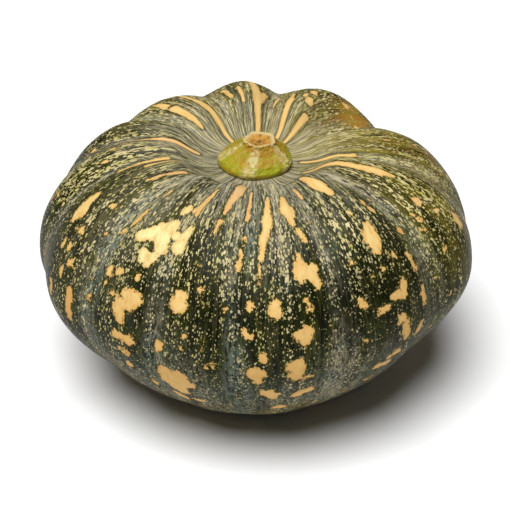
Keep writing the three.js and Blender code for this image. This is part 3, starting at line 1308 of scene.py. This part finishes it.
@dataclass(frozen=True)
class RindFinish:
    """Waxy green rind with cream flecks and streaks, ragged pale marks, a grey bloom with painted sheen, and
    painted shade.
    """

    name: str = "rind"
    deep: Colour = (0.0052, 0.0064, 0.0013, 1)
    green: Colour = (0.056, 0.066, 0.006, 1)
    olive: Colour = (0.200, 0.155, 0.014, 1)
    rim: Colour = (0.022, 0.030, 0.002, 1)
    # The bloom's grey, made light enough to stand for painted sheen as well as bloom.
    bloom_and_sheen: Colour = (0.340, 0.305, 0.215, 1)
    slate: Colour = (0.165, 0.200, 0.160, 1)
    # Paler grey towards the stem: partly frosty bloom, partly painted sheen on the top.
    frost_and_sheen: Colour = (0.520, 0.460, 0.330, 1)
    fleck: Colour = (0.52, 0.45, 0.13, 1)
    pale_fleck: Colour = (0.84, 0.70, 0.36, 1)
    faint_fleck: Colour = (0.22, 0.20, 0.105, 1)
    # Flecks greyed by the bloom and by the painted sheen over them.
    fleck_under_bloom_and_sheen: Colour = (0.42, 0.38, 0.27, 1)
    golden: Colour = (0.36, 0.25, 0.040, 1)
    amber: Colour = (0.42, 0.17, 0.012, 1)
    blush: Colour = (0.66, 0.36, 0.10, 1)
    glow: Colour = (0.86, 0.72, 0.34, 1)
    scar: Colour = (0.30, 0.20, 0.09, 1)
    scar_dark: Colour = (0.10, 0.06, 0.025, 1)
    # The ground under the flecks.
    ground_cloud: Cloud = Cloud(190.0, 4.0, 0.65, draw=0.3)
    green_from_cloud: Ramp = Ramp(0.40, 0.68)
    crown_loss: float = -0.35
    green_grain: Cloud = Cloud(900.0, 3.0, 0.7, draw=0.6, ramp=Ramp(0.40, 0.60, 0.08, 1.1))
    olive_from_cloud: Ramp = Ramp(0.3, 0.65)
    fog_cloud: Cloud = Cloud(130.0, 5.0, 0.7, draw=0.15, ramp=Ramp(0.30, 0.62))
    fog_grain: Cloud = Cloud(800.0, 3.0, 0.7, draw=0.45, ramp=Ramp(0.38, 0.60, 0.12, 1.15))
    slate_cloud: Cloud = Cloud(75.0, 3.0, ramp=Ramp(0.40, 0.62))
    # How much of the paler grey, painted sheen in part, lies towards the stem.
    frost_and_sheen_along: Ramp = Ramp(20.0, 90.0, 0.6, 0.0)
    fog_amount: float = 0.85
    shade_amount: float = 0.8
    halo: Ramp = Ramp(-0.0021, -0.0004)
    halo_amount: float = 0.6
    # How large the flecks are, and where they lie.
    band_cloud: Cloud = Cloud(110.0, 3.0, 0.6, draw=0.12, ramp=Ramp(0.36, 0.62))
    size_in_band: Ramp = Ramp(0.0, 1.0, 0.68, 1.0)
    row_cloud: Cloud = Cloud(430.0, 2.0, 0.5, draw=0.04, ramp=Ramp(0.38, 0.60))
    size_in_row: Ramp = Ramp(0.0, 1.0, 0.66, 1.1)
    size_in_shade: Ramp = Ramp(0.0, 1.0, 1.0, 0.80)
    size_along: Ramp = Ramp(85.0, 125.0, 1.18, 0.86)
    ragged_scale: float = 1300.0
    ragged_reach: float = 0.0007
    fleck_draw: float = 0.70
    flecks: Dots = Dots(1150.0, 0.13, 0.60)
    spots: Dots = Dots(520.0, -0.16, 0.42)
    spots_along: Ramp = Ramp(80.0, 130.0, 0.98, 0.84)
    line_cloud: Cloud = Cloud(900.0, 3.0, 0.7, draw=0.07, ramp=Ramp(0.50, 0.66))
    near_stem: Ramp = Ramp(18.0, 75.0, 1.0, 0.0)
    line_amount: Ramp = Ramp(0.0, 1.0, 0.08, 0.55)
    flecks_in_halo: Ramp = Ramp(0.0, 1.0, 1.0, 0.45)
    # The flecks' colour.
    pale_cloud: Cloud = Cloud(260.0, 4.0, 0.6, ramp=Ramp(0.38, 0.64))
    faint_in_shade: float = 0.75
    faint_cloud: Cloud = Cloud(520.0, 3.0, ramp=Ramp(0.43, 0.60))
    faint_along: Ramp = Ramp(60.0, 110.0, 0.3, 1.0)
    faint_amount: float = 0.9
    fleck_bloom_and_sheen_amount: float = 0.5
    # The golden patch.
    patch_cloud: Cloud = Cloud(260.0, 5.0, 0.7, draw=0.25)
    patch_weight: float = 0.70
    patch_edge: Ramp = Ramp(0.60, 1.20)
    patch_stripes: Ramp = Ramp(0.36, 0.64)
    patch_amount: float = 0.85
    # The pale marks.
    mark_cloud: Cloud = Cloud(560.0, 5.0, 0.75)
    mark_wander: Ramp = Ramp(25.0, 90.0, 0.0025, 0.0098)
    mark_edge: Ramp = Ramp(-0.0002, 0.0003)
    mottle_cloud: Cloud = Cloud(480.0, 5.0, 0.75, draw=0.6)
    mottle_blush: Ramp = Ramp(0.46, 0.66, 0.0, 0.75)
    mottle_glow: Ramp = Ramp(0.46, 0.30, 0.0, 0.45)
    edge_blush: Ramp = Ramp(-0.0004, 0.0026, 0.6, 0.0)
    # Low on the belly the marks turn peach and darker: partly their own blush, partly painted shade.
    low_blush_and_shade: Ramp = Ramp(85.0, 140.0, 0.0, 0.55)
    # The scar at the blossom end.
    scar_edge: Ramp = Ramp(0.0092, 0.0078)
    scar_wander: float = 0.004
    scar_edge_cloud: Cloud = Cloud(420.0, 4.0, 0.7)
    scar_cloud: Cloud = Cloud(900.0, 4.0, 0.7)
    # The skin.
    roughness: float = 0.38
    bloom_roughness: float = 0.20
    rough_cloud: Cloud = Cloud(500.0)
    rough_amount: float = 0.10
    specular: float = 0.055
    raised_share: float = 0.5
    skin_cloud: Cloud = Cloud(900.0, 3.0)
    bump: tuple[float, float] = (0.35, 0.0003)

    def build(self) -> bpy.types.Material:
        """Makes the finish.

        Returns:
            The material.
        """
        material, g, shader = new_finish(self.name)
        at = RindPlace.read(g)
        halo = self.halo.of(g, at.mark)
        dots = self._dots(g, at, halo)
        skin = g.tint(dots, self._ground(g, at, halo), self._fleck_colour(g, at))
        skin = self._with_patch(g, at, skin)
        ragged = g.math("SUBTRACT", self.mark_cloud.over(g, at.flow), 0.5)
        inside = g.math("MULTIPLY_ADD", ragged, self.mark_wander.of(g, at.along), at.mark)
        inside = self.mark_edge.of(g, inside)
        skin = g.tint(inside, skin, self._mark_colour(g, at))
        rough = g.math("MULTIPLY_ADD", at.bloom_and_sheen, self.bloom_roughness, self.roughness)
        rough = g.math("MULTIPLY_ADD", self.rough_cloud.over(g, at.flow), self.rough_amount, rough)
        height = g.math("MAXIMUM", dots, inside)
        height = g.math("MULTIPLY_ADD", height, self.raised_share, self.skin_cloud.over(g, at.flow))
        skin = self._with_scar(g, skin)
        surface = {"colour": skin, "rough": rough, "specular": self.specular, "height": height}
        set_surface(g, shader, surface, self.bump)
        return material

    def _dots(self, g: Graph, at: RindPlace, halo: Value) -> Socket:
        """Lays the flecks: two sizes of dot, and fine lines towards the stem.

        Args:
            g: the finish's graph.
            at: what the mesh holds.
            halo: how near a pale mark it is.

        Returns:
            1 on a fleck and 0 off it.
        """
        band = self.size_in_band.of(g, self.band_cloud.over(g, at.flow))
        size = g.times(band, self.size_in_row.of(g, self.row_cloud.over(g, at.flow)))
        size = g.times(size, self.size_in_shade.of(g, at.shade))
        size = g.times(size, self.size_along.of(g, at.along))
        drawn = g.vector("MULTIPLY", at.flow, (1.0, 1.0, self.fleck_draw))
        ragged = g.scaled(g.noise_vector(at.flow, self.ragged_scale), self.ragged_reach)
        place = g.vector("ADD", drawn, ragged)
        flecks = self.flecks.over(g, place, size)
        spots = self.spots.over(g, place, g.times(size, self.spots_along.of(g, at.along)))
        amount = self.line_amount.of(g, self.near_stem.of(g, at.along))
        lines = g.times(self.line_cloud.over(g, at.flow), amount)
        dots = g.math("MAXIMUM", g.math("MAXIMUM", flecks, spots), lines)
        return g.times(dots, self.flecks_in_halo.of(g, halo))

    def _ground(self, g: Graph, at: RindPlace, halo: Value) -> Socket:
        """Mixes the ground colour under the flecks.

        Args:
            g: the finish's graph.
            at: what the mesh holds.
            halo: how near a pale mark it is.

        Returns:
            The colour.
        """
        cloud = self.ground_cloud.over(g, at.flow)
        lit = g.math("MULTIPLY_ADD", at.crown, self.crown_loss, 1.0)
        lit = g.times(self.green_from_cloud.of(g, cloud), lit)
        lit = g.times(lit, self.green_grain.over(g, at.flow))
        ground = g.tint(lit, self.deep, self.green)
        warm = g.times(at.warm, self.olive_from_cloud.of(g, cloud))
        ground = g.tint(warm, ground, self.olive)
        # The grey is bloom, and on the top and the shoulders painted sheen as well.
        fog = g.times(at.bloom_and_sheen, self.fog_cloud.over(g, at.flow))
        fog = g.times(fog, self.fog_grain.over(g, at.flow))
        grey = g.tint(self.slate_cloud.over(g, at.flow), self.bloom_and_sheen, self.slate)
        grey = g.tint(self.frost_and_sheen_along.of(g, at.along), grey, self.frost_and_sheen)
        ground = g.tint(g.times(fog, self.fog_amount), ground, grey)
        # Painted shade darkens the ground towards the deep green.
        ground = g.tint(g.times(at.shade, self.shade_amount), ground, self.deep)
        return g.tint(g.times(halo, self.halo_amount), ground, self.rim)

    def _fleck_colour(self, g: Graph, at: RindPlace) -> Socket:
        """Mixes the flecks' colour.

        Args:
            g: the finish's graph.
            at: what the mesh holds.

        Returns:
            The colour, fainter in the painted shade, and greyed under the bloom and the painted sheen.
        """
        light = g.tint(self.pale_cloud.over(g, at.flow), self.fleck, self.pale_fleck)
        # Flecks are fainter in the painted shade.
        in_shade = g.times(at.shade, self.faint_in_shade)
        faint = g.math("MAXIMUM", in_shade, self.faint_cloud.over(g, at.flow))
        faint = g.times(faint, self.faint_along.of(g, at.along))
        light = g.tint(g.times(faint, self.faint_amount), light, self.faint_fleck)
        return g.tint(g.times(at.bloom_and_sheen, self.fleck_bloom_and_sheen_amount), light, self.fleck_under_bloom_and_sheen)

    def _with_patch(self, g: Graph, at: RindPlace, skin: Value) -> Socket:
        """Lays the golden patch over the skin.

        Args:
            g: the finish's graph.
            at: what the mesh holds.
            skin: the colour so far.

        Returns:
            The colour.
        """
        cloud = self.patch_cloud.over(g, at.flow)
        lain = self.patch_edge.of(g, g.math("MULTIPLY_ADD", at.patch, self.patch_weight, cloud))
        gold = g.tint(self.patch_stripes.of(g, cloud), self.golden, self.amber)
        return g.tint(g.times(lain, self.patch_amount), skin, gold)

    def _mark_colour(self, g: Graph, at: RindPlace) -> Socket:
        """Mottles the pale marks.

        Args:
            g: the finish's graph.
            at: what the mesh holds.

        Returns:
            The colour, which has more blush at the edges, and low on the belly more of the darker blush,
            partly painted shade.
        """
        mottle = self.mottle_cloud.over(g, at.flow)
        tint = g.tint(self.mottle_blush.of(g, mottle), g.stored("mark_colour", "Color"), self.blush)
        tint = g.tint(self.mottle_glow.of(g, mottle), tint, self.glow)
        tint = g.tint(self.edge_blush.of(g, at.mark), tint, self.blush)
        return g.tint(self.low_blush_and_shade.of(g, at.along), tint, self.blush)

    def _with_scar(self, g: Graph, skin: Value) -> Socket:
        """Lays the brown scar over the blossom end, on the axis.

        Args:
            g: the finish's graph.
            skin: the colour so far.

        Returns:
            The colour.
        """
        place = g.vector("MULTIPLY", g.add("ShaderNodeTexCoord").outputs["Object"], (1.0, 1.0, 0.0))
        off_axis = g.add("ShaderNodeVectorMath", {0: place}, operation="LENGTH").outputs["Value"]
        edge = g.math("MULTIPLY_ADD", self.scar_edge_cloud.over(g, place), self.scar_wander, off_axis)
        scarred = g.tint(self.scar_cloud.over(g, place), self.scar, self.scar_dark)
        return g.tint(self.scar_edge.of(g, edge), skin, scarred)


@dataclass
class Fruit:
    """The ribbed fruit, with its marks and tones."""

    name: str = "fruit_rind"
    outline: Outline = field(default_factory=Outline)
    rule: RibbedTree = field(default_factory=RibbedTree)
    finish: RindFinish = field(default_factory=RindFinish)
    marks: ScatteredMarks = field(default_factory=ScatteredMarks)

    def _lobe_ring(self) -> bpy.types.Object:
        """Makes the ring of lobes, one vertex to a lobe.

        Returns:
            The ring, which holds each lobe's groove and shape.
        """
        mesh = bpy.data.meshes.new("lobe_ring")
        mesh.from_pydata([(lobe.at * MM, 0, 0) for lobe in LOBES], [], [])
        store(mesh, "groove", np.array([(math.radians(lobe.at), lobe.depth * MM, 0) for lobe in LOBES]))
        store(mesh, "shape", np.array([(lobe.swell, lobe.rise, lobe.lift) for lobe in LOBES]) * MM)
        return new_object("lobe_ring", mesh)

    def build(self) -> bpy.types.Object:
        """Makes the fruit.

        Returns:
            The piece.
        """
        mesh = self.rule.run(self.name, self.outline.mesh(), self._lobe_ring(), self.finish.build())
        marks = [*PLACED_MARKS, *self.marks.marks(PLACED_MARKS)]
        MarkField().store_on(mesh, marks)
        ToneFields().store_on(mesh)
        piece = new_object(self.name, mesh)
        litres = signed_volume(mesh) * LITRES
        log.info("%s: %d faces, %.2f litres, %d marks", self.name, len(mesh.polygons), litres, len(marks))
        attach(piece, "root")
        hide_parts("fruit")
        return piece


# ---------------------------------------------------------------- the stem


@dataclass(frozen=True)
class StemFinish:
    """Olive stem with corky orange patches, pale ridges with painted highlights, painted shade on the lip at
    its foot, and a dry, fibrous cut face.
    """

    name: str = "stem"
    olive: Colour = (0.40, 0.29, 0.010, 1)
    fresh: Colour = (0.31, 0.31, 0.008, 1)
    cork: Colour = (0.40, 0.19, 0.018, 1)
    pale: Colour = (0.70, 0.62, 0.32, 1)
    cut: Colour = (0.56, 0.29, 0.045, 1)
    # Dark fibres and hollow of the cut face, and the painted shade on the lip.
    dark: Colour = (0.11, 0.055, 0.012, 1)
    # The bark.
    body_cloud: Cloud = Cloud(170.0, 4.0, 0.6)
    body_side: float = 0.07
    body_edge: Ramp = Ramp(0.42, 0.62)
    cork_cloud: Cloud = Cloud(330.0, 5.0, 0.7)
    cork_height: float = 0.30
    cork_side: float = 0.10
    cork_edge: Ramp = Ramp(0.62, 0.80)
    cork_amount: float = 0.80
    # Pale ridges, partly their own colour and partly a painted highlight.
    ridge_edge: Ramp = Ramp(0.45, 1.0)
    ridge_cloud: Cloud = Cloud(420.0, 4.0, 0.7, ramp=Ramp(0.36, 0.62))
    ridge_pale_and_highlight: float = 0.75
    lip_shade_amount: float = 0.75
    # The cut face.
    face_cloud: Cloud = Cloud(420.0, 5.0, 0.7, ramp=Ramp(0.30, 0.56))
    hollow_edge: Ramp = Ramp(0.66, 0.96)
    hollow_cloud: Cloud = Cloud(260.0, 4.0, 0.6, ramp=Ramp(0.42, 0.56))
    hollow_amount: float = 0.8
    rim_edge: Ramp = Ramp(0.62, 0.48, 0.0, 0.6)
    cut_edge: Ramp = Ramp(0.0, 0.15)
    # The surface.
    roughness: Ramp = Ramp(0.5, 0.9, 0.20, 0.72)
    specular: float = 0.32
    grit_cloud: Cloud = Cloud(700.0, 5.0, 0.65)
    fibre_cloud: Cloud = Cloud(900.0, 3.0, 0.6)
    fibre_amount: float = 0.6
    bump: tuple[float, float] = (0.7, 0.0008)

    def build(self) -> bpy.types.Material:
        """Makes the finish.

        Returns:
            The material.
        """
        material, g, shader = new_finish(self.name)
        place = g.add("ShaderNodeTexCoord").outputs["Object"]
        cut, height, side = (g.stored(name) for name in ("cut", "height", "side"))
        corky = g.math("ADD", self.cork_cloud.over(g, place), g.times(height, self.cork_height))
        corky = g.math("MULTIPLY_ADD", g.times(side, height), self.cork_side, corky)
        bark, face = self._bark(g, place, side, corky), self._face(g, place, cut)
        fibre = g.times(self.fibre_cloud.over(g, g.stored("grain", "Vector")), self.fibre_amount)
        surface = {
            "colour": g.tint(self.cut_edge.of(g, cut), bark, face),
            "rough": self.roughness.of(g, g.math("ADD", cut, corky)),
            "specular": self.specular,
            "height": g.math("ADD", self.grit_cloud.over(g, place), fibre),
        }
        set_surface(g, shader, surface, self.bump)
        return material

    def _bark(self, g: Graph, place: Value, side: Value, corky: Value) -> Socket:
        """Mixes the bark's colour.

        Args:
            g: the finish's graph.
            place: where it is read.
            side: how far it is towards the corky side.
            corky: how corky it is.

        Returns:
            The colour, with painted shade on the lip at the foot.
        """
        cloud = g.math("MULTIPLY_ADD", side, self.body_side, self.body_cloud.over(g, place))
        bark = g.tint(self.body_edge.of(g, cloud), self.olive, self.fresh)
        cork = g.times(self.cork_edge.of(g, corky), self.cork_amount)
        bark = g.tint(cork, bark, self.cork)
        # Pale along the ridges: partly the ridges' own colour, partly a painted highlight.
        light = g.times(self.ridge_edge.of(g, g.stored("ridge")), self.ridge_cloud.over(g, place))
        bark = g.tint(g.times(light, self.ridge_pale_and_highlight), bark, self.pale)
        # Painted shade: the lip at the foot, where it tucks under, is darkened.
        return g.tint(g.times(g.stored("lip"), self.lip_shade_amount), bark, self.dark)

    def _face(self, g: Graph, place: Value, cut: Value) -> Socket:
        """Mixes the cut face's colour.

        Args:
            g: the finish's graph.
            place: where it is read.
            cut: 1 in the middle of the face, less towards the rim.

        Returns:
            The colour.
        """
        face = g.tint(self.face_cloud.over(g, place), self.dark, self.cut)
        hollow = g.times(self.hollow_edge.of(g, cut), self.hollow_cloud.over(g, place))
        face = g.tint(g.times(hollow, self.hollow_amount), face, self.dark)
        return g.tint(self.rim_edge.of(g, cut), face, self.pale)


@dataclass
class Stem:
    """The ridged stub of stem, leaning a little from its foot to its cut end."""

    name: str = "stem_stub"
    columns: int = 240
    foot_radius: float = 18
    cut_radius: float = 8
    height: float = 14
    lean: float = 2.5
    ridge_count: int = 5
    ridge_share: float = 0.13
    ridge_turn: float = -102
    corky_turn: float = -40
    cut_rim: float = 1.2
    cut_hollow: float = 1.6
    neck_fullness: float = 0.8
    shoulder_inset: float = 2.2
    flare_height: float = 8.0
    lip_height: float = 3
    lip_bulge: float = 0.4
    lip_undercut: float = 1
    foot_fit: float = 1.09
    foot_ridges: float = 0.25
    ridge_power: float = 1.3
    ridge_rise: float = 2.2
    foot_rise: float = 1.6
    wrinkle: float = 0.7
    wrinkle_size: tuple[float, float] = (3.0, 0.35)
    wrinkle_scale: float = 1.7
    lip_wrinkle: float = 0.3
    fractal: tuple[float, float, int] = (1.0, 2.0, 4)
    face_grit: float = 0.4
    face_scale: float = 0.9
    grain_size: tuple[float, float] = (18.0, 0.15)
    neck_steps: int = 40
    lip_steps: int = 12
    face_steps: int = 16
    rim_steps: int = 6
    neck_shoulder: float = 0.70
    rim_width: float = 0.95
    rim_height: float = 0.25
    rim_cut: float = 0.3
    face_cut: float = 0.5
    lip_start: float = 0.3
    under_radii: tuple[float, ...] = (0.7, 0.35, 0.0)
    finish: StemFinish = field(default_factory=StemFinish)

    def _outline(self) -> tuple[np.ndarray, np.ndarray, np.ndarray]:
        """Draws the stem's outline, from the middle of the cut face to the middle of the foot.

        Returns:
            The radius and level of each step, how much of the cut face is in it, and how much of the lip.
        """
        neck_start, neck_end = (self.cut_radius, self.height), (self.foot_radius, self.lip_height)
        below_cut = (self.cut_radius + self.neck_fullness, self.height * self.neck_shoulder)
        flare = (self.foot_radius - self.shoulder_inset, self.flare_height)
        neck = cubic(np.linspace(0, 1, self.neck_steps)[:, None], neck_start, below_cut, flare, neck_end)
        bulge, foot = (self.foot_radius + self.lip_bulge, 0), (self.foot_radius - self.lip_undercut, 0)
        lip = quadratic(np.linspace(0, 1, self.lip_steps)[1:, None], neck_end, bulge, foot)
        inner = self.cut_radius - self.cut_rim
        r = np.linspace(0, inner, self.face_steps)[:, None]
        face = np.hstack([r, self.height - self.cut_hollow * (1 - (r / inner) ** 2)])
        v = np.linspace(0, 1, self.rim_steps)[1:-1, None] * math.pi / 2
        over = inner + self.cut_rim * np.sin(v) * self.rim_width
        rim = np.hstack([over, self.height + self.rim_height * np.sin(2 * v)])
        under = np.array([foot]) * np.array(self.under_radii)[:, None]
        steps = np.vstack([face, rim, neck, lip, under])
        cut, low = np.zeros(len(steps)), np.zeros(len(steps))
        cut[: len(face)] = np.linspace(1, self.face_cut, len(face))
        cut[len(face) : len(face) + len(rim)] = self.rim_cut
        start = len(steps) - len(under) - len(lip)
        # The lip's share, which the finish darkens as painted shade, runs from lip_start at the top of the
        # lip to 1 at the foot.
        low[start:] = 1
        low[start : start + len(lip)] = np.linspace(self.lip_start, 1, len(lip))
        return steps, cut, low

    def _reach(self, radius: float, share: float, ridge: np.ndarray) -> np.ndarray:
        """Finds how far a step of the outline reaches.

        Args:
            radius: the step's radius.
            share: its share of the stem's height.
            ridge: how near a ridge each column is.

        Returns:
            The reach at each column.
        """
        strength = blend(self.foot_ridges, 1.0, float(smooth(np.array(share * self.ridge_rise))))
        reach = radius * (1 + self.ridge_share * ridge * strength)
        return reach * blend(self.foot_fit, 1.0, float(smooth(np.array(share * self.foot_rise))))

    def _rough(
        self, angle: float, step: tuple[float, float], in_cut: bool, in_lip: bool
    ) -> tuple[float, float]:
        """Roughens a point.

        Args:
            angle: the point's angle.
            step: the radius and the level of its step.
            in_cut: whether it lies on the cut face.
            in_lip: whether it lies on the lip.

        Returns:
            How far it moves out, and how far up.
        """
        radius, level = step
        if in_cut:
            spot = Vector((radius * math.cos(angle), radius * math.sin(angle), 0)) * self.face_scale
            return 0.0, noise.fractal(spot, *self.fractal) * self.face_grit
        wide, high = self.wrinkle_size
        spot = Vector((math.cos(angle) * wide, math.sin(angle) * wide, level * high)) * self.wrinkle_scale
        share = self.lip_wrinkle if in_lip else 1
        return noise.fractal(spot, *self.fractal) * self.wrinkle * share, 0.0

    def _rings(self) -> tuple[list[tuple[float, ...]], list[tuple[float, ...]]]:
        """Sweeps the outline round, and closes it at the top and at the foot.

        Returns:
            Every vertex's place, and its ridge, cut, lip, height, cosine, sine and level.
        """
        steps, cut, low = self._outline()
        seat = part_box("stem")[0].z / MM
        turn = np.arange(self.columns) / self.columns * math.tau
        wave = (1 + np.cos(self.ridge_count * (turn - math.radians(self.ridge_turn)))) / 2
        ridge = wave**self.ridge_power
        places, held = [], []
        for step, cut_here, low_here in zip(steps[1:-1], cut[1:-1], low[1:-1]):
            radius, level = step
            share = level / self.height
            reach = self._reach(radius, share, ridge)
            lean = self.lean * float(smooth(np.array(share)))
            for k, angle in enumerate(turn):
                out, up = self._rough(angle, step, bool(cut_here), bool(low_here))
                out += reach[k]
                places.append((out * math.cos(angle) + lean, out * math.sin(angle), level + up + seat))
                held.append((ridge[k], cut_here, low_here, share, math.cos(angle), math.sin(angle), level))
        top = steps[0][1]
        places += [(self.lean, 0, top + seat), (0, 0, seat)]
        held += [(0, 1, 0, 1, 0, 0, top), (0, 0, 1, 0, 0, 0, 0)]
        return places, held

    def _faces(self, count: int) -> list[tuple[int, ...]]:
        """Joins the rings.

        Args:
            count: how many vertices there are; the last two are the top and the foot.

        Returns:
            The corners of each face.
        """
        rows = (count - 2) // self.columns
        faces = ring_faces(rows, self.columns)
        last = (rows - 1) * self.columns
        for k in range(self.columns):
            n = (k + 1) % self.columns
            faces.append((count - 2, k, n))
            faces.append((count - 1, last + n, last + k))
        return faces

    def build(self) -> bpy.types.Object:
        """Makes the stem.

        Returns:
            The piece.
        """
        places, held = self._rings()
        mesh = bpy.data.meshes.new(self.name)
        mesh.from_pydata([(x * MM, y * MM, z * MM) for x, y, z in places], [], self._faces(len(places)))
        ridge, cut, lip, height, cosine, sine, level = np.array(held).T
        for name, values in (("ridge", ridge), ("cut", cut), ("lip", lip), ("height", height)):
            store(mesh, name, values)
        facing = math.radians(self.corky_turn)
        store(mesh, "side", cosine * math.cos(facing) + sine * math.sin(facing))
        wide, high = self.grain_size
        store(mesh, "grain", np.stack([cosine * wide, sine * wide, level * high], -1) * MM)
        mesh.shade_smooth()
        mesh.materials.append(self.finish.build())
        piece = new_object(self.name, mesh)
        millilitres = signed_volume(mesh) * MILLILITRES
        log.info("%s: %d faces, %.2f millilitres", self.name, len(mesh.polygons), millilitres)
        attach(piece, "root")
        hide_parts("stem")
        return piece


# ---------------------------------------------------------------- the studio


@dataclass
class Studio:
    """A plain white floor and backdrop, one large soft light from the upper left, and the camera."""

    floor_radius: float = 0.7
    backdrop_radius: float = 5.0
    wall_height: float = 3.5
    curve_radius: float = 2.0
    curve_steps: int = 13
    floor_colour: Colour = (0.90, 0.90, 0.90, 1)
    roughness: float = 0.9
    specular: float = 0.1
    backdrop_glow: float = 0.5
    world_strength: float = 0.045
    light_strength: float = 4.1
    light_spread: float = 35.0
    light_way: tuple[float, float, float] = (0.15, 0.35, -1.0)
    elevation: float = 34.0
    distance: float = 0.85
    aim_height: float = 0.0723
    lens: float = 106.5
    sensor: float = 36.0
    columns: int = 96

    def build(self) -> None:
        """Makes the floor, the lights and the camera."""
        self._stage_piece("floor", [(0.0, 0.0), (self.floor_radius, 0.0)], 0.0)
        profile = [(self.floor_radius, 0.0)]
        flat = self.backdrop_radius - self.curve_radius
        for angle in np.linspace(0, math.pi / 2, self.curve_steps):
            out, up = self.curve_radius * math.sin(angle), self.curve_radius * (1 - math.cos(angle))
            profile.append((flat + out, up))
        profile.append((self.backdrop_radius, self.wall_height))
        backdrop = self._stage_piece("backdrop", profile, self.backdrop_glow)
        backdrop.visible_diffuse = False
        backdrop.visible_glossy = False
        self._lights()
        self._camera()

    def _stage_piece(self, name: str, profile: list[tuple[float, float]], glow: float) -> bpy.types.Object:
        """Turns a profile into a piece of the stage.

        Args:
            name: the piece's name.
            profile: the radius and the height of each ring.
            glow: how strongly it lights itself.

        Returns:
            The piece.
        """
        turns = np.arange(self.columns) / self.columns * math.tau
        places = [(r * math.cos(a), r * math.sin(a), z) for r, z in profile for a in turns]
        mesh = bpy.data.meshes.new(name)
        mesh.from_pydata(places, [], ring_faces(len(profile), self.columns))
        mesh.shade_smooth()
        material, _, shader = new_finish(name)
        shader.inputs["Base Color"].default_value = self.floor_colour
        shader.inputs["Roughness"].default_value = self.roughness
        shader.inputs["Specular IOR Level"].default_value = self.specular
        shader.inputs["Emission Color"].default_value = (1, 1, 1, 1)
        shader.inputs["Emission Strength"].default_value = glow
        mesh.materials.append(material)
        piece = new_object(name, mesh)
        return piece

    def _lights(self) -> None:
        """Makes the large soft light and a faint even one."""
        world = bpy.data.worlds.new("studio")
        world.use_nodes = True
        even = world.node_tree.nodes["Background"].inputs
        even["Color"].default_value = (1, 1, 1, 1)
        even["Strength"].default_value = self.world_strength
        bpy.context.scene.world = world
        sun = bpy.data.lights.new("softbox", "SUN")
        sun.energy = self.light_strength
        sun.angle = math.radians(self.light_spread)
        key = bpy.data.objects.new("softbox", sun)
        bpy.context.scene.collection.objects.link(key)
        key.rotation_euler = Vector(self.light_way).to_track_quat("-Z", "Y").to_euler()

    def _camera(self) -> None:
        """Makes the camera."""
        lens = bpy.data.cameras.new("camera")
        lens.lens = self.lens
        lens.sensor_width = self.sensor
        camera = bpy.data.objects.new("camera", lens)
        bpy.context.scene.collection.objects.link(camera)
        angle = math.radians(self.elevation)
        aim = Vector((0, 0, self.aim_height))
        back = Vector((0, -math.cos(angle), math.sin(angle)))
        camera.location = aim + back * self.distance
        camera.rotation_euler = (-back).to_track_quat("-Z", "Y").to_euler()
        bpy.context.scene.camera = camera
        bpy.context.scene.view_settings.view_transform = "Standard"


def main() -> None:
    """Builds the pieces and the studio."""
    logging.basicConfig(level=logging.INFO, format="%(message)s")
    Studio().build()
    Fruit().build()
    Stem().build()
    bpy.context.view_layer.update()


if __name__ == "__main__":
    main()
